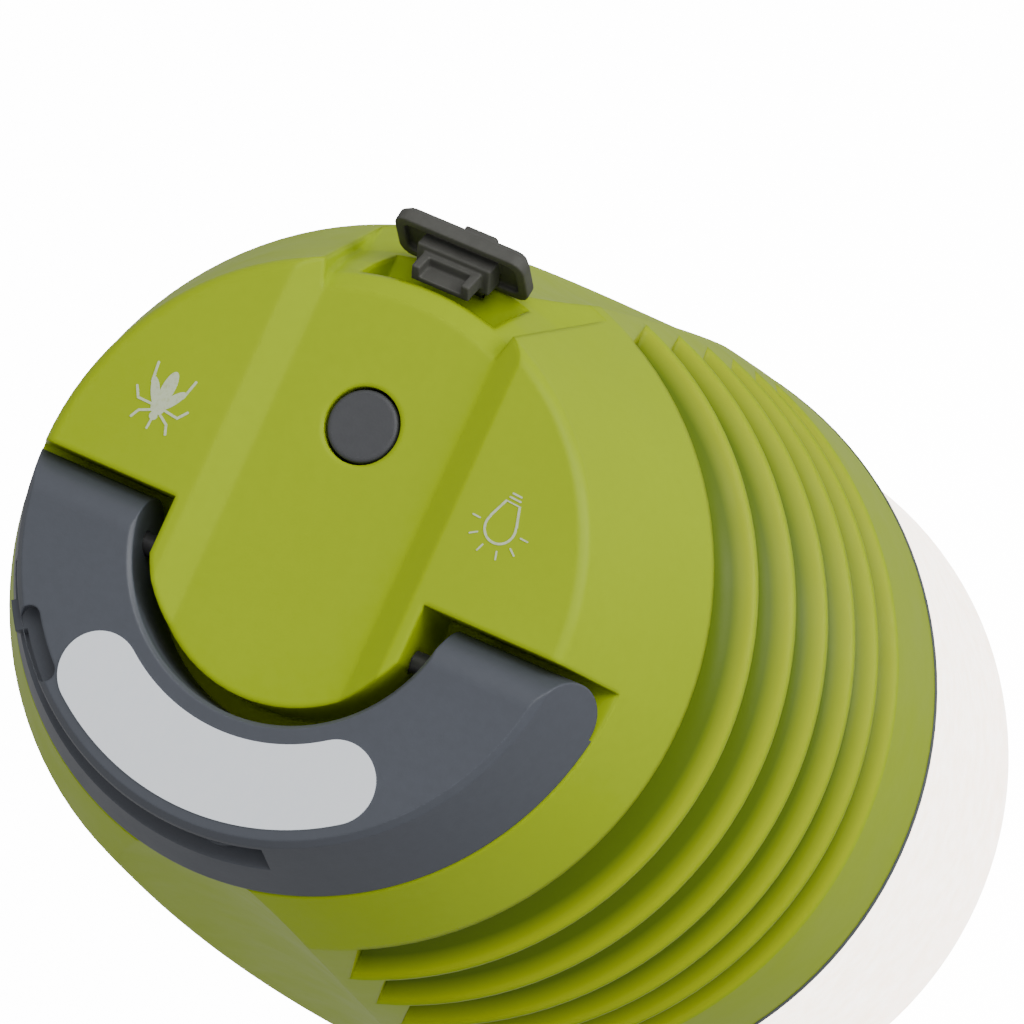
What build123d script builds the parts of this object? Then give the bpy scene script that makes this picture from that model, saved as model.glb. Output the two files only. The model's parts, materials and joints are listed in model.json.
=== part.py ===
from build123d import *
import os
from math import atan2, cos, degrees, pi, radians, sin, sqrt

# Rechargeable lantern bug zapper, standing on its shade.
# Millimetres, +Z up, origin at the centre of the resting face.
# X runs along the handle's hinge line, +Y points at the charging port.

# ---- driving dimensions -------------------------------------------------------------
TOP_Z = 150.0             # raised flats of the top
STRIP_Z = 148.3           # sunk strip between the flats
STRIP_FLOOR_HALF = 9.9    # strip half width at its floor
STRIP_RIM_HALF = 13.0     # strip half width at the flats
RIM_R = 29.7              # edge of the flats
CONE_Z = 130.1            # lower edge of the plain cone, where the ribs start
CONE_R = 37.6
BASE_Z = 55.2             # lower edge of the green shell
BASE_R = 42.8
GROOVE_COUNT = 6
FIRST_PITCH = 12.0        # height of the first rib, the next ones shrink by the ratio
PITCH_RATIO = 0.92
GROOVE_DEPTH = 3.0
CREST_LAND = 0.3          # height of the land left on each crest
FIN_TOP_HALF = 16.5       # half width of the plain panel at the top and foot of a groove
FIN_FOOT_HALF = 12.5
WALL = 1.8

BOSS_R = 15.7             # round end of the centre boss
BOSS_FLAT_X = 14.4        # flats on its sides that the raised handle passes
RECESS_Z = 140.1          # floor of the handle recess
HANDLE_IN_R = 17.7
HANDLE_CREASE_R = 29.3
HANDLE_Z = 140.4          # underside of the handle
BARREL_R = 4.6            # rolled ends of the handle
PIVOT_Y = -5.4
PIVOT_Z = TOP_Z - BARREL_R
PIN_R = 1.2
RUN = 0.05                # radial running clearance

HOOK_PIVOT_R = 27.3       # hook pivot, polar in the folded handle
HOOK_PIVOT_DEG = -83.0
HOOK_END_DEG = -148.0
HOOK_IN_R = 25.2
HOOK_OUT_R = 30.1
HOOK_Z = 145.4            # underside of the hook blade
HOOK_T = 2.0
SLIT_TOP_Z = 148.8
HOOK_PIN_TOP_Z = 149.5
HOOK_EYE_R = 3.0
SLIT_GAP = 0.3

BUTTON_Y = 14.0
BUTTON_R = 3.75
BUTTON_GAP = 0.3
BUTTON_H = 1.8

BOARD_Z = 139.4           # underside of the control board
BOARD_T = 1.2
SOCKET_Z = BOARD_Z + BOARD_T
SOCKET_H = 2.7
SWITCH_H = 2.6

PORT_HALF = 7.7           # half width of the charging pocket
PORT_Y = 27.9             # back wall of the pocket
PORT_LOW_Z = 138.6
PORT_TOP_Z = 146.2
COVER_Y = 31.3            # middle of the closed flap
COVER_HINGE_Y = 32.2
COVER_HINGE_Z = 138.0
COVER_OPEN_DEG = 42.0     # the flap stands this far open at rest

DECK_Z = 57.0
DECK_T = 2.4
DECK_R = 40.0
COLLAR_R = 39.8
COLLAR_LOW_Z = 47.0
O_RING_Z = 50.0
SHADE_TOP_Z = 54.2
SHADE_TOP_R = 42.6
SHADE_HEEL_R = 40.4
SHADE_HEEL_Z = 10.0
SHADE_FOOT_R = 33.0       # edge of the flat resting face
SHADE_T = 1.6

GRID_R = 27.0
WIRE_R = 0.4
WIRE_COUNT = 48
GRID_LOW_Z = 12.0
GRID_TOP_Z = 53.0
GRID_RING_H = 3.0
CAGE_R = 31.0
CAGE_BARS = 18
CAGE_TOP_Z = 53.4         # underside of the guard's top ring

CELL_R = 9.2
CELL_L = 65.0
CELL_X = -12.0
CELL_Y = -6.0
CELL_Z = 64.0

MARK_T = 0.06             # thickness of the printed marks


# ---- helpers --------------------------------------------------------------------------
def polar(radius, angle):
    """Point on a circle about the axis, angle in degrees from +X."""
    return (radius * cos(radians(angle)), radius * sin(radians(angle)))


def rod(radius, low, high, x=0.0, y=0.0):
    """Upright cylinder from one height to another."""
    return Pos(x, y, (low + high) / 2) * Cylinder(radius, high - low)


def rod_x(radius, low, high, y, z):
    """Cylinder that lies along X."""
    return Pos((low + high) / 2, y, z) * Rot(0, 90, 0) * Cylinder(radius, high - low)


def block(low, high):
    """Box between two corners."""
    size = [b - a for a, b in zip(low, high)]
    centre = [(a + b) / 2 for a, b in zip(low, high)]
    return Pos(*centre) * Box(*size)


def ring(outer, inner, low, high):
    return rod(outer, low, high) - rod(inner, low - 1, high + 1)


def turned(*edges):
    """Solid of revolution about Z from a closed chain of edges in the XZ plane."""
    return revolve(make_face(edges), Axis.Z, 360)


def turned_polygon(points):
    """Solid of revolution about Z from (radius, height) corners."""
    return turned(Polyline(*[(r, 0, z) for r, z in points], close=True))


def around(shape, count, start=0.0):
    """Copies of a shape spread evenly about the axis."""
    step = 360 / count
    return Compound([Rot(0, 0, start + step * k) * shape for k in range(count)])


def save(shape, name):
    solids = [s for s in shape.solids() if s.volume > 1e-4]
    export_step(solids[0] if len(solids) == 1 else Compound(solids), f"parts/{name}.step")


# ---- upper housing ---------------------------------------------------------------------
def crest_radius(z):
    """Radius of the smooth envelope that the rib crests touch, from the cone's foot down."""
    fade = (z - BASE_Z) / (CONE_Z - BASE_Z)
    return BASE_R - (BASE_R - CONE_R) * fade ** 2


def crest_heights():
    heights = [CONE_Z]
    pitch = FIRST_PITCH
    for _ in range(GROOVE_COUNT):
        heights.append(heights[-1] - pitch)
        pitch *= PITCH_RATIO
    return heights


def cone_radius(z):
    """Radius of the plain cone between the rim and the ribs."""
    share = (TOP_Z - z) / (TOP_Z - CONE_Z)
    return RIM_R + (CONE_R - RIM_R) * share


def shell_envelope():
    """Smooth outer form: rounded rim, plain cone, then the swelling flank down to the base."""
    rim_round = 1.2
    rim_in = (RIM_R - rim_round, 0, TOP_Z)
    rim_mid = (RIM_R - 0.1, 0, TOP_Z - 0.25)
    rim_out = (cone_radius(TOP_Z - rim_round), 0, TOP_Z - rim_round)
    flank = [(crest_radius(z), 0, z) for z in (CONE_Z, 112.0, 92.0, 72.0, BASE_Z)]
    return turned(
        Line((0, 0, TOP_Z), rim_in),
        ThreePointArc(rim_in, rim_mid, rim_out),
        Line(rim_out, flank[0]),
        Spline(*flank),
        Line(flank[-1], (0, 0, BASE_Z)),
        Line((0, 0, BASE_Z), (0, 0, TOP_Z)),
    )


def groove(high, low):
    """One groove under a crest: steep wall, hollow foot, then a slope out to the next crest."""
    floor_r = crest_radius(high) - GROOVE_DEPTH
    lip_r = crest_radius(low)
    outside = BASE_R + 4
    top = (floor_r, 0, high - 0.5)
    foot = (floor_r + 0.15, 0, low + 0.42 * (high - low))
    mid = (floor_r + 0.95, 0, low + 0.19 * (high - low))
    lip = (lip_r - 0.35, 0, low + 0.35)
    beyond = (lip_r + CREST_LAND, 0, low - CREST_LAND)
    body = turned(
        Polyline((outside, 0, high), (crest_radius(high) - 0.4, 0, high), top, foot),
        ThreePointArc(foot, mid, lip),
        Polyline(lip, beyond, (outside, 0, low - CREST_LAND), (outside, 0, high)),
    )
    outline = Polyline(
        (-FIN_TOP_HALF, 0, high + 1), (FIN_TOP_HALF, 0, high + 1), (FIN_FOOT_HALF, 0, low - 1),
        (-FIN_FOOT_HALF, 0, low - 1), close=True,
    )
    fins = extrude(make_face(outline), amount=60, dir=(0, 1, 0), both=True)
    return body - fins


def panel_scoop(side):
    """Long hollow down the middle of the +Y or -Y flank."""
    scoop_r = 30.0
    top = Vector(0, side * (30.6 + scoop_r), STRIP_Z + 6)
    foot = Vector(0, side * (BASE_R + 0.2 + scoop_r), BASE_Z + 6)
    down = foot - top
    axis = Plane(origin=top, z_dir=down)
    return axis * Pos(0, 0, down.length / 2) * Cylinder(scoop_r, down.length + 2)


def housing_cavity():
    low = [(0, BASE_Z - 1), (BASE_R - 1.6, BASE_Z - 1), (BASE_R - 1.6, DECK_Z + DECK_T)]
    flank = [(38.4, DECK_Z + DECK_T), (37.6, 76.0), (36.0, 96.0), (33.4, 114.0), (31.6, 129.0)]
    roof = [(29.5, RECESS_Z - 2.2), (0, RECESS_Z - 2.2)]
    lower = turned_polygon(low + flank + roof)
    under_boss = rod(BOSS_R - 4.5, RECESS_Z - 3, STRIP_Z - WALL)
    rear = rod(RIM_R - 3.2, RECESS_Z - 3, STRIP_Z - WALL)
    rear &= block((-30, 3, 0), (30, PORT_Y - 1.8, TOP_Z))
    return lower + under_boss + rear


def handle_recess():
    """Half ring cleared for the folded handle, open to the outside."""
    half = block((-60, -60, RECESS_Z), (60, 0, TOP_Z + 1))
    boss = rod(BOSS_R, RECESS_Z - 1, TOP_Z + 2)
    flats = block((-BOSS_FLAT_X, -60, RECESS_Z - 1), (BOSS_FLAT_X, 60, TOP_Z + 2))
    return half - (boss & flats)


def strip_channel():
    outline = Polyline(
        (-STRIP_FLOOR_HALF, 0, STRIP_Z), (STRIP_FLOOR_HALF, 0, STRIP_Z),
        (STRIP_RIM_HALF, 0, TOP_Z), (STRIP_RIM_HALF, 0, TOP_Z + 1),
        (-STRIP_RIM_HALF, 0, TOP_Z + 1), (-STRIP_RIM_HALF, 0, TOP_Z), close=True,
    )
    return extrude(make_face(outline), amount=60, dir=(0, 1, 0), both=True)


def strip_end_slope():
    """Fall from the strip's outer end towards the port, fanning out until it meets the cone."""
    slope = turned_polygon([
        (27.1, STRIP_Z), (29.0, STRIP_Z - 1.4), (31.0, STRIP_Z - 5.1), (33.3, STRIP_Z - 10.8),
        (37.0, STRIP_Z - 16.8), (60, STRIP_Z - 16.8), (60, TOP_Z + 1), (27.1, TOP_Z + 1),
    ])
    near_y, far_y, far_half = 25.2, 40.0, 15.0
    plan = Polyline(
        (-STRIP_FLOOR_HALF, 0), (STRIP_FLOOR_HALF, 0), (STRIP_FLOOR_HALF, near_y), (far_half, far_y),
        (far_half, 60), (-far_half, 60), (-far_half, far_y), (-STRIP_FLOOR_HALF, near_y), close=True,
    )
    return slope & Pos(0, 0, 100) * extrude(make_face(plan), amount=60)


def deck_post_places():
    return [polar(36.2, a) for a in (30, 150, 270)]


def board_post_places():
    return [(-7.4, 20.5), (7.4, 20.5), (0.0, 6.2)]


def upper_housing():
    body = shell_envelope() - panel_scoop(1) - panel_scoop(-1)
    heights = crest_heights()
    for high, low in zip(heights, heights[1:]):
        body -= groove(high, low + CREST_LAND)
    body -= handle_recess()
    body -= strip_channel()
    body -= strip_end_slope()
    body -= housing_cavity()
    for x, y in deck_post_places():
        post = rod(3.4, DECK_Z + DECK_T, 78, x, y) & rod(39.0, 50, 90)
        body += post
        body -= rod(1.1, 50, 72, x, y)
    for x, y in board_post_places():
        body += rod(2.2, BOARD_Z + BOARD_T, STRIP_Z - WALL + 0.5, x, y)
        body -= rod(0.9, BOARD_Z, STRIP_Z - 3.2, x, y)
    body -= rod(BUTTON_R + BUTTON_GAP, STRIP_Z - 5, TOP_Z, 0, BUTTON_Y)
    body -= block((-PORT_HALF, PORT_Y, PORT_LOW_Z), (PORT_HALF, 60, PORT_TOP_Z))
    body -= block((-4.1, 20, SOCKET_Z - 0.2), (4.1, PORT_Y + 1, SOCKET_Z + SOCKET_H + 1.3))
    sill = (-2.7, COVER_HINGE_Y - 1.2, COVER_HINGE_Z - 1.2)
    body -= block(sill, (2.7, 60, PORT_LOW_Z + 1))
    for side in (-1, 1):
        body -= rod_x(PIN_R, *sorted((side * 11.3, side * 18.0)), PIVOT_Y, PIVOT_Z)
    return body.solids().sort_by(SortBy.VOLUME)[-1]


# ---- handle ------------------------------------------------------------------------------
def handle_section():
    """Half-ring blank: flat top, crease, then a skirt that carries the cone's line on."""
    crease_low = TOP_Z - 0.7
    return turned_polygon([
        (HANDLE_IN_R, HANDLE_Z), (HANDLE_IN_R, TOP_Z - 0.4), (HANDLE_IN_R + 0.4, TOP_Z),
        (HANDLE_CREASE_R, TOP_Z), (cone_radius(crease_low), crease_low),
        (cone_radius(HANDLE_Z), HANDLE_Z),
    ])


def hook_pivot():
    return polar(HOOK_PIVOT_R, HOOK_PIVOT_DEG)


def wedge(start, stop, low, high, reach=60.0):
    """Pie slice between two angles."""
    steps = max(2, int(abs(stop - start) / 30) + 1)
    rim = [polar(reach, start + (stop - start) * k / steps) for k in range(steps + 1)]
    face = make_face(Polyline((0, 0), *rim, close=True))
    return Pos(0, 0, low) * extrude(face, amount=high - low)


def hook_slit():
    """Slit in the handle's outer edge that the hook folds into, open to the outside."""
    low = HOOK_Z - SLIT_GAP
    high = SLIT_TOP_Z
    px, py = hook_pivot()
    slit = wedge(-157, HOOK_PIVOT_DEG, low, high) - rod(HOOK_IN_R - 0.5, low - 1, high + 1)
    slit += rod(HOOK_EYE_R + 0.5, low, high, px, py)
    slit += wedge(HOOK_PIVOT_DEG, -72.5, low, high) - rod(HOOK_PIVOT_R - 1.0, low - 1, high + 1)
    return slit


def nail_notch():
    """Oblong window in the plate's edge that bares the hook's tip to a fingernail."""
    return arc_band(28.9, 1.15, -144, -132.5, HOOK_Z, TOP_Z + 1)


def handle():
    body = handle_section() & block((-60, -60, 0), (60, PIVOT_Y, TOP_Z + 5))
    outside = handle_section()
    for side in (-1, 1):
        barrel = rod_x(BARREL_R, *sorted((side * 16.0, side * 34.0)), PIVOT_Y, PIVOT_Z)
        body += barrel & outside
        bore = sorted((side * 15.0, side * 23.2))
        body -= rod_x(PIN_R + RUN, *bore, PIVOT_Y, PIVOT_Z)
    body -= hook_slit()
    body -= nail_notch()
    px, py = hook_pivot()
    body -= rod(PIN_R, HOOK_Z - 3.2, HOOK_PIN_TOP_Z, px, py)
    return body


def hook_pin():
    px, py = hook_pivot()
    return rod(PIN_R, HOOK_Z - 3.2, HOOK_PIN_TOP_Z, px, py)


def handle_pins():
    return Compound([rod_x(PIN_R, *sorted((s * 11.3, s * 23.0)), PIVOT_Y, PIVOT_Z) for s in (-1, 1)])


def swing_hook():
    """Crescent blade: an eye round the pin, a tapering band, and a small thumb tip."""
    px, py = hook_pivot()
    low = HOOK_Z
    high = HOOK_Z + HOOK_T
    blade = wedge(HOOK_END_DEG + 2, HOOK_PIVOT_DEG, low, high) & ring(HOOK_OUT_R, HOOK_IN_R, low, high)
    tip_x, tip_y = polar((HOOK_IN_R + HOOK_OUT_R) / 2, HOOK_END_DEG + 2)
    blade += rod((HOOK_OUT_R - HOOK_IN_R) / 2, low, high, tip_x, tip_y)
    tab = wedge(HOOK_END_DEG - 1, HOOK_END_DEG + 5, low, high) & ring(31.4, HOOK_OUT_R - 3, low, high)
    blade += tab
    blade += rod(HOOK_EYE_R, low, high, px, py)
    blade -= rod(PIN_R + RUN, low - 1, high + 1, px, py)
    return blade


def arc_band(mid_r, half, start, stop, low, high):
    """Curved band with round ends, lying in a plane of constant height."""
    band = wedge(start, stop, low, high) & ring(mid_r + half, mid_r - half, low, high)
    for angle in (start, stop):
        x, y = polar(mid_r, angle)
        band += rod(half, low, high, x, y)
    return band


def handle_label():
    return arc_band(23.95, 4.3, -126, -55.4, TOP_Z, TOP_Z + 0.12)


# ---- button, switch and charging port --------------------------------------------------------
def push_button():
    cap = rod(BUTTON_R, STRIP_Z - BUTTON_H, STRIP_Z, 0, BUTTON_Y)
    cap = chamfer(cap.edges().group_by(Axis.Z)[-1], 0.25)
    stem_low = SOCKET_Z + SWITCH_H + 1.3
    return cap + rod(1.5, stem_low, STRIP_Z - BUTTON_H + 0.2, 0, BUTTON_Y)


def button_switch():
    base = block((-3, BUTTON_Y - 3, SOCKET_Z), (3, BUTTON_Y + 3, SOCKET_Z + SWITCH_H))
    return base + rod(1.4, SOCKET_Z + SWITCH_H, SOCKET_Z + SWITCH_H + 0.4, 0, BUTTON_Y)


def charge_socket():
    """Micro USB receptacle: folded sheet shell with its tongue inside."""
    low_y = PORT_Y - 7.9
    high_y = PORT_Y - 1.9
    shell = block((-3.9, low_y, SOCKET_Z), (3.9, high_y, SOCKET_Z + SOCKET_H))
    shell -= block((-3.5, low_y + 0.8, SOCKET_Z + 0.4), (3.5, high_y + 1, SOCKET_Z + SOCKET_H - 0.4))
    return shell + block((-2.4, low_y + 0.5, SOCKET_Z + 1.1), (2.4, high_y - 1, SOCKET_Z + 1.6))


def port_cover_closed():
    """Rubber flap in its closed place: dished plate, plug block, hollow tongue, hinge barrel."""
    lean = degrees(atan2(33.6 - 31.2, 6.5))
    plate = Box(15.0, 2.0, 7.0)
    plate = fillet(plate.edges().filter_by(Axis.Y), 1.6)
    plate = chamfer(plate.edges().group_by(Axis.Y)[-1], 0.7)
    dish = fillet(Box(12.8, 1.1, 4.8).edges().filter_by(Axis.Y), 0.9)
    lift = fillet(Box(3.8, 1.6, 1.3).edges().filter_by(Axis.Y), 0.4)
    flap = Pos(0, 0.25, 0) * plate - Pos(0, -0.6, 0) * dish + Pos(1.2, 1.2, 1.6) * lift
    flap = Pos(0, COVER_Y, 142.35) * Rot(lean, 0, 0) * flap
    mid_z = SOCKET_Z + SOCKET_H / 2
    stub = block((-4.2, COVER_Y - 2.4, mid_z - 1.6), (4.2, COVER_Y, mid_z + 1.6))
    tongue = block((-3.3, COVER_Y - 5.0, mid_z - 0.9), (3.3, COVER_Y - 2.0, mid_z + 0.9))
    tongue -= block((-2.4, COVER_Y - 6.0, mid_z - 0.3), (2.4, COVER_Y - 3.0, mid_z + 2))
    barrel = rod_x(0.9, -2.4, 2.4, COVER_HINGE_Y, COVER_HINGE_Z)
    strap_low = (-2.4, COVER_HINGE_Y - 0.5, COVER_HINGE_Z)
    strap = block(strap_low, (2.4, COVER_HINGE_Y + 0.7, COVER_HINGE_Z + 2.4))
    return flap + stub + tongue + barrel + strap


def port_cover():
    hinge = Location((0, COVER_HINGE_Y, COVER_HINGE_Z))
    return hinge * Rot(-COVER_OPEN_DEG, 0, 0) * hinge.inverse() * port_cover_closed()


# ---- electrics -------------------------------------------------------------------------------
def control_board():
    board = block((-9.6, 3.6, BOARD_Z), (9.6, PORT_Y - 3.4, BOARD_Z + BOARD_T))
    for x, y in board_post_places():
        board -= rod(1.1, BOARD_Z - 1, BOARD_Z + 3, x, y)
    return board


def screw(x, y, seat_z, length, head_r, core_r):
    """Screw that is driven upwards, its head under the seat."""
    head = rod(head_r, seat_z - 1.3, seat_z, x, y)
    cross = block((x - 0.25, y - 1.1, seat_z - 1.4), (x + 0.25, y + 1.1, seat_z - 0.7))
    cross += block((x - 1.1, y - 0.25, seat_z - 1.4), (x + 1.1, y + 0.25, seat_z - 0.7))
    return head - cross + rod(core_r, seat_z, seat_z + length, x, y)


def status_led():
    return block((4.6, BUTTON_Y - 0.8, SOCKET_Z), (6.2, BUTTON_Y + 0.8, SOCKET_Z + 0.8))


def battery_cell():
    can = rod(CELL_R, CELL_Z, CELL_Z + CELL_L, CELL_X, CELL_Y)
    return can + rod(2.8, CELL_Z + CELL_L, CELL_Z + CELL_L + 0.9, CELL_X, CELL_Y)


def battery_cradle():
    """Half sleeve that stands on the deck and grips the cell from one side."""
    sleeve = rod(CELL_R + 1.9, DECK_Z + DECK_T, 104, CELL_X, CELL_Y)
    sleeve -= rod(CELL_R + 0.02, CELL_Z, 110, CELL_X, CELL_Y)
    sleeve -= block((CELL_X + 3.5, -40, CELL_Z), (40, 40, 110))
    return sleeve


def high_voltage_board():
    return block((6.0, -16.0, DECK_Z + DECK_T), (7.4, 16.0, 112.0))


def high_voltage_coil():
    core = Pos(13.9, 5.0, 84.0) * Rot(0, 90, 0) * Cylinder(6.0, 9.0)
    low_flange = Pos(8.4, 5.0, 84.0) * Rot(0, 90, 0) * Cylinder(7.4, 2.0)
    high_flange = Pos(19.4, 5.0, 84.0) * Rot(0, 90, 0) * Cylinder(7.4, 2.0)
    return core + low_flange + high_flange


def storage_capacitor():
    body = block((7.4, -12.0, 70.0), (13.4, -3.0, 86.0))
    return fillet(body.edges().filter_by(Axis.X), 1.2)


def chassis_deck():
    """Plate that closes the shell from below, with the collar that the shade slips over."""
    deck = rod(DECK_R, DECK_Z, DECK_Z + DECK_T)
    deck += ring(COLLAR_R, COLLAR_R - 1.5, COLLAR_LOW_Z, DECK_Z)
    deck -= ring(COLLAR_R + 1, COLLAR_R - 0.8, O_RING_Z - 0.8, O_RING_Z + 0.8)
    for x, y in deck_post_places():
        deck -= rod(1.3, DECK_Z - 1, DECK_Z + 5, x, y)
    for x, y in cage_screw_places():
        deck -= rod(0.9, DECK_Z - 1, DECK_Z + 2, x, y)
    return deck


def shade_o_ring():
    return Pos(0, 0, O_RING_Z) * Torus(COLLAR_R - 0.15, 0.65)


def seal_ring():
    return ring(BASE_R + 0.1, COLLAR_R + 0.1, SHADE_TOP_Z + 0.2, BASE_Z)


# ---- light, grid and guard ------------------------------------------------------------------
def lamp_board():
    return ring(24.0, 8.0, DECK_Z - 1.2, DECK_Z)


def lamp_leds():
    led = block((17.4, -1.4, DECK_Z - 2.0), (20.2, 1.4, DECK_Z - 1.2))
    return around(led, 12)


def uv_lamp_post():
    low = GRID_LOW_Z + 2
    return Pos(0, 0, low) * extrude(RegularPolygon(6.2, 6), amount=DECK_Z - low)


def uv_leds():
    face = 6.2 * cos(pi / 6)
    led = block((face, -1.6, 28.0), (face + 0.9, 1.6, 31.2))
    led += block((face, -1.6, 40.0), (face + 0.9, 1.6, 43.2))
    return around(led, 6, 30)


def grid_ring(low):
    """Insulating end ring with a hole for every wire."""
    high = low + GRID_RING_H
    body = ring(GRID_R + 2.4, GRID_R - 2.4, low, high)
    for k in range(WIRE_COUNT):
        x, y = polar(GRID_R, 360 * k / WIRE_COUNT)
        body -= rod(WIRE_R, low - 1, high + 1, x, y)
    return body


def grid_top_ring():
    """Upper end ring with three lugs between the wires that carry it from the deck."""
    body = grid_ring(GRID_TOP_Z - GRID_RING_H)
    lug = block((24.6, -1.2, GRID_TOP_Z - 1), (28.9, 1.2, DECK_Z))
    for k in range(3):
        body += Rot(0, 0, 78.75 + 120 * k) * lug
    return body


def grid_wires(first):
    """Every second upright wire, held in both end rings."""
    places = [polar(GRID_R, 360 * k / WIRE_COUNT) for k in range(first, WIRE_COUNT, 2)]
    return Compound([rod(WIRE_R, GRID_LOW_Z, GRID_TOP_Z, x, y) for x, y in places])


def cage_screw_places():
    return [polar(CAGE_R, a) for a in (10, 130, 250)]


def cage_screws():
    return [screw(x, y, CAGE_TOP_Z, DECK_Z - CAGE_TOP_Z + 2.0, 1.5, 0.9) for x, y in cage_screw_places()]


def guard_cage():
    """Finger guard round the grid: top ring, upright bars and foot ring."""
    body = ring(CAGE_R + 2.4, CAGE_R - 1.5, CAGE_TOP_Z, DECK_Z)
    body += ring(CAGE_R + 0.9, CAGE_R - 5.8, GRID_LOW_Z - 3, GRID_LOW_Z)
    bar = block((CAGE_R - 0.9, -0.9, GRID_LOW_Z - 3), (CAGE_R + 0.9, 0.9, DECK_Z))
    for k in range(CAGE_BARS):
        body += Rot(0, 0, 360 / CAGE_BARS * k) * bar
    for x, y in cage_screw_places():
        body -= rod(1.0, 40, DECK_Z + 1, x, y)
    return body


def catch_tray():
    """Shallow dish for the dead insects, pushed into the guard's foot ring."""
    dish = rod(CAGE_R - 6.0, GRID_LOW_Z - 4.6, GRID_LOW_Z - 0.2)
    dish -= rod(CAGE_R - 7.4, GRID_LOW_Z - 3.2, GRID_LOW_Z)
    return dish + ring(CAGE_R - 3.0, CAGE_R - 7.0, GRID_LOW_Z - 4.6, GRID_LOW_Z - 3.0)


def shade_profile(inset):
    """Solid cup: drafted wall, round heel, flat foot, drawn in from the outside by an inset."""
    rise = 1 if inset else 0
    top = (SHADE_TOP_R - inset, 0, SHADE_TOP_Z + rise)
    waist = (41.2 - inset, 0, 38.0)
    heel = (SHADE_HEEL_R - inset * 0.97, 0, SHADE_HEEL_Z)
    mid = (38.0 - inset * 0.75, 0, 3.0 + inset * 0.7)
    foot = (SHADE_FOOT_R - inset * 0.3, 0, inset)
    return turned(
        Line((0, 0, inset), foot),
        ThreePointArc(foot, mid, heel),
        Spline(heel, waist, top),
        Line(top, (0, 0, top[2])),
        Line((0, 0, top[2]), (0, 0, inset)),
    )


def lamp_shade():
    """Frosted cup that slips over the collar."""
    return shade_profile(0) - shade_profile(SHADE_T)


# ---- printed marks --------------------------------------------------------------------------
def stroke(points, width):
    """Flat line of constant width through a few points."""
    parts = []
    for (ax, ay), (bx, by) in zip(points, points[1:]):
        length = sqrt((bx - ax) ** 2 + (by - ay) ** 2)
        angle = degrees(atan2(by - ay, bx - ax))
        parts.append(Pos((ax + bx) / 2, (ay + by) / 2) * Rot(0, 0, angle) * Rectangle(length, width))
    for x, y in points:
        parts.append(Pos(x, y) * Circle(width / 2))
    face = parts[0]
    for part in parts[1:]:
        face += part
    return face


def print_on_flat(sketch, x, y, turn):
    return Pos(x, y, TOP_Z) * Rot(0, 0, turn) * extrude(sketch, amount=MARK_T)


def mosquito_mark():
    """Generic flying insect: long abdomen, round thorax, head with beak, wings, six legs."""
    sketch = Ellipse(0.72, 1.9)
    sketch += Pos(0, 2.1) * Circle(0.8)
    sketch += Pos(0, 3.1) * Circle(0.45)
    sketch += stroke([(0, 3.2), (0, 4.5)], 0.24)
    for side in (-1, 1):
        sketch += Pos(side * 1.05, 0.9) * Rot(0, 0, side * 32) * Ellipse(0.5, 1.6)
        sketch += stroke([(side * 0.4, 2.6), (side * 1.7, 3.3), (side * 2.1, 4.2)], 0.27)
        sketch += stroke([(side * 0.5, 2.1), (side * 2.4, 2.2), (side * 3.1, 1.2)], 0.27)
        sketch += stroke([(side * 0.5, 1.7), (side * 1.9, 0.1), (side * 2.3, -1.9)], 0.27)
    return print_on_flat(sketch, -19.9, 9.6, 175)


def bulb_mark():
    """Generic light bulb outline with its screw cap and rays."""
    outer = Circle(1.75) + Pos(0, 1.75) * Trapezoid(3.3, 2.1, 70)
    inner = Circle(1.5) + Pos(0, 1.65) * Trapezoid(2.8, 2.0, 70)
    sketch = outer - inner
    for k in range(2):
        sketch += stroke([(-0.6 + 0.12 * k, 3.2 + 0.45 * k), (0.6 - 0.12 * k, 3.2 + 0.45 * k)], 0.2)
    for angle in (180, 215, 250, 290, 325, 360):
        a = radians(angle)
        sketch += stroke([(2.4 * cos(a), 2.4 * sin(a)), (3.2 * cos(a), 3.2 * sin(a))], 0.18)
    return print_on_flat(sketch, 18.4, 10.0, -4)


# ---- the assembly -----------------------------------------------------------------------------
def main():
    os.makedirs("parts", exist_ok=True)
    save(upper_housing(), "upper_housing")
    save(handle(), "handle")
    save(handle_label(), "handle_label")
    save(handle_pins(), "handle_pins")
    save(swing_hook(), "swing_hook")
    save(hook_pin(), "hook_pin")
    save(push_button(), "push_button")
    save(button_switch(), "button_switch")
    save(charge_socket(), "charge_socket")
    save(port_cover(), "port_cover")
    save(control_board(), "control_board")
    board_screws = [screw(x, y, BOARD_Z, 4.5, 1.9, 0.9) for x, y in board_post_places()]
    save(Compound(board_screws), "board_screws")
    save(status_led(), "status_led")
    save(battery_cell(), "battery_cell")
    save(battery_cradle(), "battery_cradle")
    save(high_voltage_board(), "high_voltage_board")
    save(high_voltage_coil(), "high_voltage_coil")
    save(storage_capacitor(), "storage_capacitor")
    save(chassis_deck(), "chassis_deck")
    deck_screws = [screw(x, y, DECK_Z, 12.0, 2.0, 1.1) for x, y in deck_post_places()]
    save(Compound(deck_screws), "deck_screws")
    save(shade_o_ring(), "shade_o_ring")
    save(seal_ring(), "seal_ring")
    save(lamp_board(), "lamp_board")
    save(lamp_leds(), "lamp_leds")
    save(uv_lamp_post(), "uv_lamp_post")
    save(uv_leds(), "uv_leds")
    save(grid_top_ring(), "grid_top_ring")
    save(grid_ring(GRID_LOW_Z), "grid_bottom_ring")
    save(grid_wires(0), "grid_wires_live")
    save(grid_wires(1), "grid_wires_ground")
    save(guard_cage(), "guard_cage")
    save(Compound(cage_screws()), "cage_screws")
    save(catch_tray(), "catch_tray")
    save(lamp_shade(), "lamp_shade")
    save(mosquito_mark(), "mosquito_mark")
    save(bulb_mark(), "bulb_mark")


main()
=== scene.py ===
import json
import math

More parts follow.
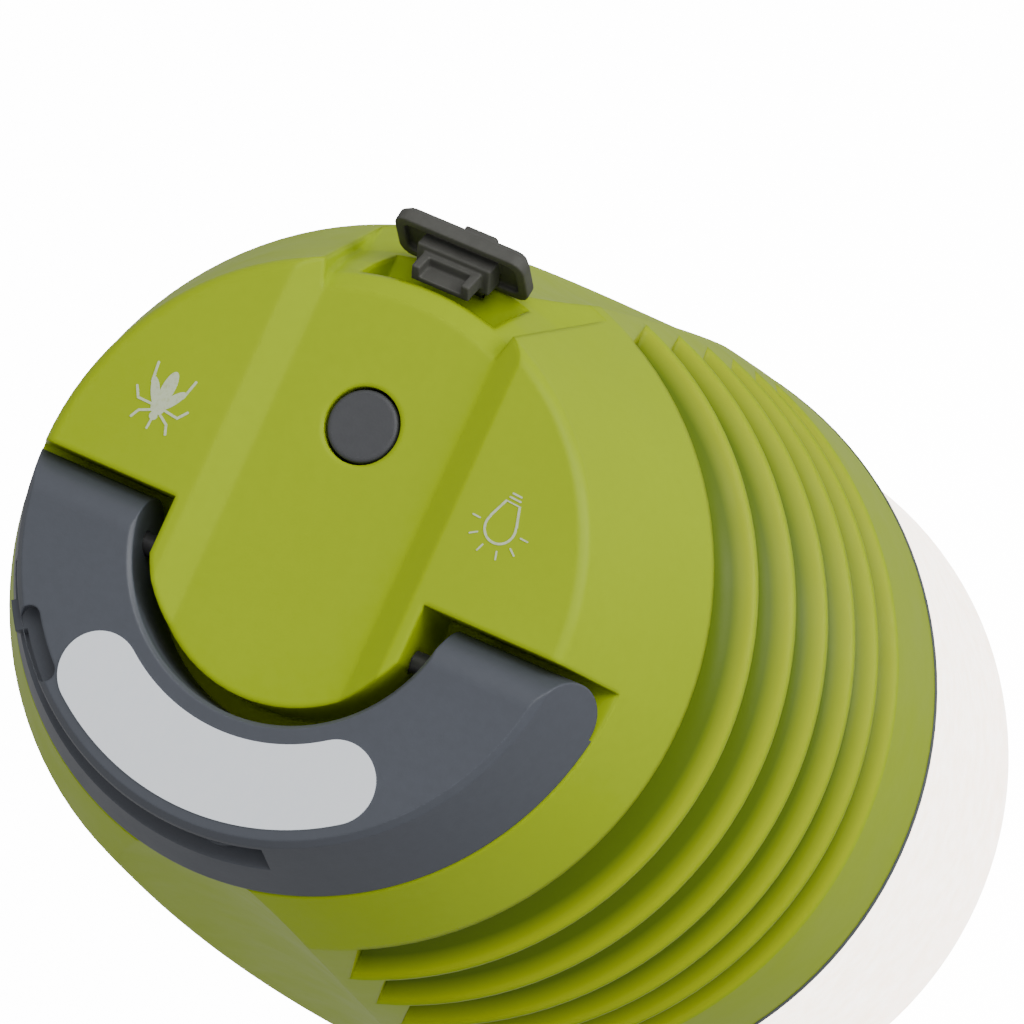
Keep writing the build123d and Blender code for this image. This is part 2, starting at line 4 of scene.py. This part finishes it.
import bmesh
import bpy
from mathutils import Matrix, Vector


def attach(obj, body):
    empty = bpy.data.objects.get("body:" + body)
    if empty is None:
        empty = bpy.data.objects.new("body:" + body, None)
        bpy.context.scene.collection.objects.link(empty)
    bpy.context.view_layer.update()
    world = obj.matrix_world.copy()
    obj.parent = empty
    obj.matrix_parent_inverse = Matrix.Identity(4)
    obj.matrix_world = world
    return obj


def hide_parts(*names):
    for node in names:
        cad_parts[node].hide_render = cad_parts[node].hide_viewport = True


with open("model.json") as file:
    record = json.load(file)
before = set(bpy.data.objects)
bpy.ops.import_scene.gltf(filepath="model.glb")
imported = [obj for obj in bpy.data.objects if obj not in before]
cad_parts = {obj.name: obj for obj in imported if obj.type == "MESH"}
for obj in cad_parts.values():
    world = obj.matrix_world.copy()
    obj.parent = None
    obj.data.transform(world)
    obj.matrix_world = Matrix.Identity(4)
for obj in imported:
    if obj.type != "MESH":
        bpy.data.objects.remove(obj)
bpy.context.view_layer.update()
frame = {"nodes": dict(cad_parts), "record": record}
MM = 0.001

NODES = frame["nodes"]
BEHAVIOUR = frame["record"]["behaviour"]
BODY_OF = {n: b for b, members in BEHAVIOUR["bodies"].items() for n in members}
SLOT_OF = {part["node"]: part["material_slot"] for part in frame["record"]["subparts"]}

# ---- camera: looks down on the lantern from the side, rolled -----------------------------------
CAMERA_AIM = Vector((16.5, 12.3, 143.3)) * MM
CAMERA_DISTANCE = 849.5 * MM
CAMERA_AZIMUTH = 80.65
CAMERA_ELEVATION = 70.72
CAMERA_ROLL = -56.76
CAMERA_LENS = 298.8
CAMERA_SENSOR = 36.0
CAMERA_NEAR = 0.05
CAMERA_FAR = 20.0


def make_camera():
    azimuth, elevation = math.radians(CAMERA_AZIMUTH), math.radians(CAMERA_ELEVATION)
    flat = math.cos(elevation)
    back = Vector((math.sin(azimuth) * flat, -math.cos(azimuth) * flat, math.sin(elevation)))
    level = Vector((0, 0, 1)).cross(back).normalized()
    upright = back.cross(level)
    roll = math.radians(CAMERA_ROLL)
    right = level * math.cos(roll) + upright * math.sin(roll)
    up = back.cross(right)
    data = bpy.data.cameras.new("camera")
    data.lens = CAMERA_LENS
    data.sensor_width = CAMERA_SENSOR
    data.clip_start = CAMERA_NEAR
    data.clip_end = CAMERA_FAR
    camera = bpy.data.objects.new("camera", data)
    turn = Matrix((right, up, back)).transposed().to_4x4()
    camera.matrix_world = Matrix.Translation(CAMERA_AIM + back * CAMERA_DISTANCE) @ turn
    bpy.context.scene.collection.objects.link(camera)
    bpy.context.scene.camera = camera


make_camera()

# ---- materials: node trees ---------------------------------------------------------------------
# A noise node's raw value stays mostly between these two, so they are stretched to 0 and 1.
NOISE_LOW, NOISE_HIGH = 0.3, 0.7
# How the shaded normal leans from the true one: the cosine on open surface and on a full edge.
EDGE_NONE, EDGE_FULL = 0.99, 0.86
BEVEL_SAMPLES = 6
# Stretched noise: lines that run along Z, and fibres that are longest along Y.
DRAWN_LINES = (1.0, 1.0, 0.04)
PAPER_FIBRES = (1.0, 0.35, 1.0)


class Graph:
    """Short hand for building a node tree."""

    def __init__(self, name):
        self.material = bpy.data.materials.new(name)
        self.material.use_nodes = True
        self.tree = self.material.node_tree
        self.tree.nodes.clear()
        self.out = self.add("ShaderNodeOutputMaterial")
        self.bsdf = self.add("ShaderNodeBsdfPrincipled")
        self.link(self.bsdf.outputs[0], self.out.inputs["Surface"])
        self.coords = self.add("ShaderNodeTexCoord").outputs["Object"]

    def add(self, kind, **values):
        node = self.tree.nodes.new(kind)
        for key, value in values.items():
            setattr(node, key, value)
        return node

    def link(self, source, target):
        self.tree.links.new(source, target)

    def feed(self, source, socket_name):
        """Link a value into the surface shader."""
        self.link(source, self.bsdf.inputs[socket_name])

    def noise(self, scale, detail=3.0, rough=0.5, stretch=None):
        node = self.add("ShaderNodeTexNoise")
        node.inputs["Scale"].default_value = scale
        node.inputs["Detail"].default_value = detail
        node.inputs["Roughness"].default_value = rough
        source = self.coords
        if stretch:
            mapping = self.add("ShaderNodeMapping")
            mapping.inputs["Scale"].default_value = stretch
            self.link(source, mapping.inputs["Vector"])
            source = mapping.outputs[0]
        self.link(source, node.inputs["Vector"])
        return node.outputs["Fac"]

    def span(self, value, low, high, new_low, new_high):
        """Map low..high to new_low..new_high, held at both ends."""
        node = self.add("ShaderNodeMapRange")
        node.inputs["From Min"].default_value = low
        node.inputs["From Max"].default_value = high
        node.inputs["To Min"].default_value = new_low
        node.inputs["To Max"].default_value = new_high
        self.link(value, node.inputs["Value"])
        return node.outputs["Result"]

    def spread(self, value, new_low, new_high):
        """Stretch a noise value to new_low..new_high."""
        return self.span(value, NOISE_LOW, NOISE_HIGH, new_low, new_high)

    def mix(self, factor, first, second):
        node = self.add("ShaderNodeMix", data_type="RGBA")
        self.link(factor, node.inputs["Factor"])
        for socket, colour in ((node.inputs["A"], first), (node.inputs["B"], second)):
            if isinstance(colour, tuple):
                socket.default_value = (*colour, 1.0)
            else:
                self.link(colour, socket)
        return node.outputs["Result"]

    def math(self, operation, first, second=None):
        """One arithmetic step. Each value is a number or another node's output."""
        node = self.add("ShaderNodeMath", operation=operation)
        for socket, value in zip(node.inputs, (first, second)):
            if isinstance(value, float):
                socket.default_value = value
            elif value is not None:
                self.link(value, socket)
        return node.outputs[0]

    def bump(self, height, distance, strength, normal=None):
        node = self.add("ShaderNodeBump")
        node.inputs["Distance"].default_value = distance
        node.inputs["Strength"].default_value = strength
        self.link(height, node.inputs["Height"])
        if normal is not None:
            self.link(normal, node.inputs["Normal"])
        return node.outputs["Normal"]

    def soft_edges(self, radius):
        node = self.add("ShaderNodeBevel", samples=BEVEL_SAMPLES)
        node.inputs["Radius"].default_value = radius
        return node.outputs["Normal"]

    def edge_mask(self, rounded):
        """Near 1 on an edge, 0 on open surface: where edge wear and a painted edge highlight go."""
        geometry = self.add("ShaderNodeNewGeometry")
        dot = self.add("ShaderNodeVectorMath", operation="DOT_PRODUCT")
        self.link(rounded, dot.inputs[0])
        self.link(geometry.outputs["Normal"], dot.inputs[1])
        return self.span(dot.outputs["Value"], EDGE_NONE, EDGE_FULL, 0.0, 1.0)

    def set(self, **values):
        """Constant values, straight on the surface shader's own sockets."""
        for key, value in values.items():
            socket = self.bsdf.inputs[key.replace("_", " ")]
            socket.default_value = (*value, 1.0) if isinstance(value, tuple) else value


def shade_of(colour, factor):
    return tuple(min(1.0, c * factor) for c in colour)


# ---- materials: kinds of surface ---------------------------------------------------------------
def moulded(name, colour, rough, mottle=0.06, grain=2600.0, grain_depth=0.02, edge=0.35,
            edge_gain=1.35, radius=0.35, hollow=None, **shader):
    """Moulded plastic: flow mottle, spark-eroded grain, soft edges, and lighter corners, partly
    polish from wear and partly a painted highlight.

    Lengths are in millimetres. The function given for the grooves, if any, paints shade into their
    hollows and a highlight on their lips.
    """
    g = Graph(name)
    cloud = g.spread(g.noise(38.0, detail=4.0), 0.0, 1.0)
    fine = g.noise(grain, detail=2.0, rough=0.6)
    base = g.mix(cloud, shade_of(colour, 1 - mottle), shade_of(colour, 1 + mottle))
    speck = g.span(g.noise(900.0, detail=2.0), 0.35, 0.75, 0.0, 0.5)
    base = g.mix(speck, base, shade_of(colour, 1 - 1.4 * mottle))
    rounded = g.soft_edges(radius * MM)
    # Patchy lighter edges: partly polish from wear, partly a painted highlight.
    patchy = g.spread(g.noise(420.0, detail=3.0), 0.3 * edge, edge)
    edge_wear_and_highlight = g.math("MULTIPLY", g.edge_mask(rounded), patchy)
    base = g.mix(edge_wear_and_highlight, base, shade_of(colour, edge_gain))
    # Painted shade in the hollows and a painted highlight on their lips, where a function for that
    # is given.
    if hollow:
        base = hollow(g, base)
    g.feed(base, "Base Color")
    g.feed(g.span(g.noise(150.0, detail=4.0), 0.25, 0.75, rough - 0.05, rough + 0.06), "Roughness")
    normal = g.bump(fine, distance=grain_depth * MM, strength=0.35, normal=rounded)
    waves = g.noise(70.0, detail=2.0)
    normal = g.bump(waves, distance=0.05 * MM, strength=0.25, normal=normal)
    g.feed(normal, "Normal")
    g.set(**shader)
    return g.material


def rubber(name, colour):
    """Matt rubber with fine pitting and pale dust."""
    g = Graph(name)
    rounded = g.soft_edges(0.3 * MM)
    dust = g.span(g.noise(260.0, detail=5.0, rough=0.65), 0.45, 0.8, 0.0, 0.45)
    base = g.mix(dust, colour, shade_of(colour, 1.7))
    # Lighter edges: partly wear, partly a painted highlight.
    edge_wear_and_highlight = g.span(g.edge_mask(rounded), 0.0, 1.0, 0.0, 0.5)
    base = g.mix(edge_wear_and_highlight, base, shade_of(colour, 2.0))
    g.feed(base, "Base Color")
    g.feed(g.spread(g.noise(500.0), 0.58, 0.74), "Roughness")
    pits = g.noise(3200.0, detail=3.0)
    g.feed(g.bump(pits, distance=0.03 * MM, strength=0.5, normal=rounded), "Normal")
    g.set(Specular_IOR_Level=0.4)
    return g.material


def steel(name):
    """Drawn steel: fine lengthwise lines and uneven sheen."""
    g = Graph(name)
    lines = g.noise(900.0, detail=3.0, rough=0.6, stretch=DRAWN_LINES)
    g.feed(g.mix(g.spread(lines, 0.0, 1.0), (0.46, 0.46, 0.47), (0.64, 0.64, 0.63)), "Base Color")
    g.feed(g.spread(g.noise(700.0, detail=4.0), 0.22, 0.42), "Roughness")
    rounded = g.soft_edges(0.1 * MM)
    g.feed(g.bump(lines, distance=0.01 * MM, strength=0.4, normal=rounded), "Normal")
    g.set(Metallic=1.0)
    return g.material


def frosted(name):
    """Milky shade: cloudy filling, blasted surface, and a painted glow as if lit from within;
    nothing inside gives light.
    """
    g = Graph(name)
    cloud = g.span(g.noise(420.0, detail=4.0, rough=0.62), 0.35, 0.68, 0.0, 1.0)
    g.feed(g.mix(cloud, (0.86, 0.84, 0.80), (0.95, 0.94, 0.91)), "Base Color")
    # Painted glow: a warm emission makes the shade shine by itself.
    g.feed(g.mix(cloud, (0.93, 0.80, 0.66), (1.0, 0.93, 0.84)), "Emission Color")
    g.feed(g.spread(g.noise(300.0, detail=3.0), 0.42, 0.56), "Roughness")
    blasted = g.noise(1800.0, detail=4.0)
    g.feed(g.bump(blasted, distance=0.03 * MM, strength=0.5), "Normal")
    # Strength of the painted glow, with subsurface for the milky filling.
    g.set(Emission_Strength=5.0, Subsurface_Weight=0.25, Subsurface_Scale=0.004)
    return g.material


def paper_label_with_painted_glow(name):
    """Pale matt film with faint fibres, and a faint blue painted glow that makes it brighter."""
    g = Graph(name)
    fibre = g.spread(g.noise(1500.0, detail=5.0, rough=0.7, stretch=PAPER_FIBRES), 0.0, 1.0)
    cloud = g.spread(g.noise(80.0, detail=3.0), 0.0, 0.6)
    base = g.mix(fibre, (0.88, 0.92, 0.98), (0.93, 0.96, 1.0))
    g.feed(g.mix(cloud, base, (0.95, 0.97, 1.0)), "Base Color")
    g.feed(g.span(fibre, 0.0, 1.0, 0.42, 0.55), "Roughness")
    rounded = g.soft_edges(0.08 * MM)
    g.feed(g.bump(fibre, distance=0.012 * MM, strength=0.35, normal=rounded), "Normal")
    # Painted glow: a faint blue emission that lifts the label's brightness.
    g.set(Emission_Color=(0.50, 0.75, 1.0), Emission_Strength=0.07)
    return g.material


def printed(name):
    """Pale pad print, thin enough here and there for the green to show."""
    g = Graph(name)
    thin = g.span(g.noise(2200.0, detail=4.0, rough=0.7), 0.5, 0.72, 0.0, 0.55)
    g.feed(g.mix(thin, (0.60, 0.68, 0.46), (0.36, 0.43, 0.10)), "Base Color")
    g.feed(g.spread(g.noise(900.0), 0.4, 0.55), "Roughness")
    return g.material


def board(name, colour, mask):
    """Circuit board lacquer over faint tracks."""
    g = Graph(name)
    tracks = g.add("ShaderNodeTexBrick")
    tracks.inputs["Scale"].default_value = 320.0
    tracks.inputs["Mortar Size"].default_value = 0.08
    g.link(g.coords, tracks.inputs["Vector"])
    base = g.mix(tracks.outputs["Fac"], colour, mask)
    cloud = g.spread(g.noise(60.0), 0.0, 0.4)
    g.feed(g.mix(cloud, base, shade_of(colour, 0.7)), "Base Color")
    g.feed(g.spread(g.noise(400.0), 0.25, 0.4), "Roughness")
    g.feed(g.bump(tracks.outputs["Fac"], distance=0.02 * MM, strength=0.4), "Normal")
    return g.material


def wound(name, colour):
    """Tape or wrap with the turns of what it covers showing through."""
    g = Graph(name)
    turns = g.add("ShaderNodeTexWave", bands_direction="X")
    turns.inputs["Scale"].default_value = 420.0
    turns.inputs["Distortion"].default_value = 0.6
    g.link(g.coords, turns.inputs["Vector"])
    g.feed(g.mix(turns.outputs["Fac"], shade_of(colour, 0.75), shade_of(colour, 1.1)), "Base Color")
    g.feed(g.spread(g.noise(300.0), 0.25, 0.42), "Roughness")
    g.feed(g.bump(turns.outputs["Fac"], distance=0.03 * MM, strength=0.4), "Normal")
    return g.material


# ---- materials: the shell's ribs, with painted shade and highlight -----------------------------
# The rib crests lie on a curve that leans in from the foot to the top, faster towards the top.
RIB_FOOT_Z, RIB_TOP_Z = 55.2 * MM, 130.1 * MM
RIB_FOOT_R, RIB_TOP_R = 42.8 * MM, 37.6 * MM
# The front and the back of the shell have a smooth panel with no grooves. This is just inside
# half its width at its narrowest, and the grooves' painted shade and highlight start there.
PANEL_HALF = 12.3 * MM
PANEL_BLEND = 0.6 * MM
TOP_BLEND = 0.02 * MM
# Depths under the crest curve where the painted crest highlight and painted groove shade start and
# are full.
HIGHLIGHT_START, HIGHLIGHT_FULL = 0.05 * MM, 0.3 * MM
GROOVE_SHADE_START, GROOVE_SHADE_FULL = 0.6 * MM, 2.3 * MM
LIP_HIGHLIGHT_SHARE = 0.8

GREEN = (0.352, 0.480, 0.001)
# A paler green painted as a highlight along each crest, and a dark green painted as shade in the
# groove bottoms.
LIP_HIGHLIGHT_GREEN = (0.42, 0.50, 0.0)
GROOVE_SHADE_GREEN = (0.105, 0.165, 0.002)


def ribs_painted_shade_and_highlight(g, base):
    """Painted shade and highlight: deeper, duller green in the bottoms of the shell's grooves, and
    a paler green band by each crest.
    """
    place = g.add("ShaderNodeSeparateXYZ")
    g.link(g.coords, place.inputs[0])
    x, y, z = place.outputs
    radius = g.math("SQRT", g.math("ADD", g.math("MULTIPLY", x, x), g.math("MULTIPLY", y, y)))
    share = g.math("DIVIDE", g.math("SUBTRACT", z, RIB_FOOT_Z), RIB_TOP_Z - RIB_FOOT_Z)
    drop = g.math("MULTIPLY", g.math("MULTIPLY", share, share), RIB_FOOT_R - RIB_TOP_R)
    depth = g.math("SUBTRACT", g.math("SUBTRACT", RIB_FOOT_R, drop), radius)
    below = g.span(z, RIB_TOP_Z - TOP_BLEND, RIB_TOP_Z, 1.0, 0.0)
    beside = g.span(g.math("ABSOLUTE", x), PANEL_HALF, PANEL_HALF + PANEL_BLEND, 0.0, 1.0)
    mask = g.math("MULTIPLY", below, beside)
    # Painted highlight just under each crest, then painted shade deeper down, both kept off the
    # smooth panels and the top.
    lip_highlight = g.math("MULTIPLY", g.span(depth, HIGHLIGHT_START, HIGHLIGHT_FULL, 0.0, LIP_HIGHLIGHT_SHARE), mask)
    base = g.mix(lip_highlight, base, LIP_HIGHLIGHT_GREEN)
    groove_shade = g.math("MULTIPLY", g.span(depth, GROOVE_SHADE_START, GROOVE_SHADE_FULL, 0.0, 1.0), mask)
    return g.mix(groove_shade, base, GROOVE_SHADE_GREEN)


# ---- materials: one for each slot --------------------------------------------------------------
MOULDED = {
    # The housing's grooves get painted shade in their bottoms and a painted highlight by each
    # crest.
    "housing_green": dict(colour=GREEN, rough=0.40, mottle=0.035, edge=0.5, edge_gain=1.2,
                          radius=0.9, hollow=ribs_painted_shade_and_highlight, Specular_IOR_Level=0.2),
    "handle_grey": dict(colour=(0.072, 0.080, 0.098), rough=0.44, grain=2200.0, grain_depth=0.03,
                        edge=0.4, edge_gain=1.8),
    "button_grey": dict(colour=(0.058, 0.060, 0.066), rough=0.55, mottle=0.08, grain=3000.0,
                        grain_depth=0.04, radius=0.2),
    "black_plastic": dict(colour=(0.02, 0.02, 0.022), rough=0.45, mottle=0.1, radius=0.2),
    "white_plastic": dict(colour=(0.80, 0.80, 0.77), rough=0.42, mottle=0.03, edge_gain=1.1,
                          radius=0.2),
    "tray_grey": dict(colour=(0.42, 0.43, 0.44), rough=0.45, mottle=0.05, radius=0.2),
    "seal_grey": dict(colour=(0.085, 0.10, 0.115), rough=0.5, mottle=0.08, radius=0.1),
    "capacitor_red": dict(colour=(0.42, 0.05, 0.02), rough=0.3, mottle=0.05, radius=0.3),
    "led_clear": dict(colour=(0.75, 0.74, 0.62), rough=0.2, mottle=0.04, radius=0.1),
    "led_warm": dict(colour=(0.85, 0.68, 0.22), rough=0.25, radius=0.1),
    "led_violet": dict(colour=(0.34, 0.16, 0.62), rough=0.2, radius=0.1),
    "steel_dark": dict(colour=(0.03, 0.03, 0.032), rough=0.4, mottle=0.1, radius=0.1),
}

MATERIALS = {name: moulded(name, **look) for name, look in MOULDED.items()}
MATERIALS.update({
    "rubber_grey": rubber("rubber_grey", (0.070, 0.070, 0.062)),
    "rubber_black": rubber("rubber_black", (0.018, 0.018, 0.018)),
    "steel": steel("steel"),
    "frosted_shade": frosted("frosted_shade"),
    "label_pale": paper_label_with_painted_glow("label_pale"),
    "print_pale": printed("print_pale"),
    "board_green": board("board_green", (0.015, 0.12, 0.04), (0.03, 0.20, 0.07)),
    "board_white": board("board_white", (0.74, 0.74, 0.72), (0.62, 0.62, 0.58)),
    "cell_wrap": wound("cell_wrap", (0.05, 0.19, 0.46)),
    "coil_tape": wound("coil_tape", (0.66, 0.50, 0.07)),
})

# Pieces that have a finish other than their slot's own: the handle's pins are near black instead of
# bright steel.
OTHER_FINISH = {"handle_pins": "steel_dark"}


def paint(piece, finish):
    piece.data.materials.clear()
    piece.data.materials.append(MATERIALS[finish])


for node_name, node in NODES.items():
    paint(node, OTHER_FINISH.get(node_name, SLOT_OF[node_name]))

# ---- softened copies of moulded parts ------------------------------------------------------------
RELAX_SHARE = 0.5


def softened(node_name, voxel, rounds):
    """Remeshed and relaxed copy of a CAD node: the same form with moulded, rounded edges."""
    source = NODES[node_name]
    piece = bpy.data.objects.new(node_name + "_soft", source.data.copy())
    bpy.context.scene.collection.objects.link(piece)
    remesh = piece.modifiers.new("remesh", "REMESH")
    remesh.mode = "VOXEL"
    remesh.voxel_size = voxel
    remesh.use_smooth_shade = True
    relax = piece.modifiers.new("relax", "SMOOTH")
    relax.factor = RELAX_SHARE
    relax.iterations = rounds
    graph = bpy.context.evaluated_depsgraph_get()
    mesh = bpy.data.meshes.new_from_object(piece.evaluated_get(graph))
    piece.modifiers.clear()
    piece.data = mesh
    mesh.name = node_name + "_soft"
    for polygon in mesh.polygons:
        polygon.use_smooth = True
    paint(piece, SLOT_OF[node_name])
    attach(piece, BODY_OF[node_name])
    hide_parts(node_name)


softened("port_cover", voxel=0.11 * MM, rounds=6)
softened("push_button", voxel=0.12 * MM, rounds=4)

# ---- floor ---------------------------------------------------------------------------------------
SHADE_TRAVEL = next(j["range_m"][1] for j in BEHAVIOUR["joints"] if j["name"] == "shade_off")
FLOOR_GAP = 1.0 * MM
FLOOR_Z = -SHADE_TRAVEL - FLOOR_GAP
FLOOR_HALF = 3.0
FLOOR_GLOW = 14.0


def make_floor():
    """White floor that only the camera sees, below the reach of the shade when it is pulled off."""
    mesh = bpy.data.meshes.new("floor")
    bm = bmesh.new()
    corners = [(-1, -1), (1, -1), (1, 1), (-1, 1)]
    bm.faces.new([bm.verts.new((x * FLOOR_HALF, y * FLOOR_HALF, FLOOR_Z)) for x, y in corners])
    bm.to_mesh(mesh)
    bm.free()
    floor = bpy.data.objects.new("floor", mesh)
    bpy.context.scene.collection.objects.link(floor)
    g = Graph("floor_pale")
    g.feed(g.mix(g.noise(9.0, detail=2.0), (0.93, 0.93, 0.93), (0.96, 0.96, 0.96)), "Base Color")
    g.set(Roughness=0.8, Emission_Color=(1.0, 1.0, 1.0), Emission_Strength=FLOOR_GLOW)
    mesh.materials.append(g.material)
    floor.visible_diffuse = False
    floor.visible_glossy = False


# ---- lights --------------------------------------------------------------------------------------
LIGHT_AIM = Vector((0.0, 0.0, 0.12))
# The surroundings' strength grows from low to high as the direction rises between these heights.
WORLD_LOW, WORLD_HIGH = 0.48, 0.56
WORLD_LOW_AT, WORLD_HIGH_AT = -0.25, 0.9


def area_light(name, place, size, power):
    data = bpy.data.lights.new(name, "AREA")
    data.shape = "DISK"
    data.size = size
    data.energy = power
    light = bpy.data.objects.new(name, data)
    turn = (LIGHT_AIM - Vector(place)).to_track_quat("-Z", "Y").to_matrix().to_4x4()
    light.matrix_world = Matrix.Translation(place) @ turn
    bpy.context.scene.collection.objects.link(light)


def make_world():
    world = bpy.data.worlds.new("studio")
    world.use_nodes = True
    tree = world.node_tree
    backdrop = tree.nodes["Background"]
    direction = tree.nodes.new("ShaderNodeTexCoord").outputs["Generated"]
    parts = tree.nodes.new("ShaderNodeSeparateXYZ")
    tree.links.new(direction, parts.inputs[0])
    height = tree.nodes.new("ShaderNodeMapRange")
    height.inputs["From Min"].default_value = WORLD_LOW_AT
    height.inputs["From Max"].default_value = WORLD_HIGH_AT
    height.inputs["To Min"].default_value = WORLD_LOW
    height.inputs["To Max"].default_value = WORLD_HIGH
    tree.links.new(parts.outputs["Z"], height.inputs["Value"])
    tree.links.new(height.outputs["Result"], backdrop.inputs["Strength"])
    backdrop.inputs["Color"].default_value = (1.0, 1.0, 1.0, 1.0)
    bpy.context.scene.world = world


make_floor()
make_world()
area_light("key", (0.35, 0.60, 1.20), size=0.8, power=7.5)
area_light("side", (0.85, 0.60, 0.55), size=0.6, power=6.0)
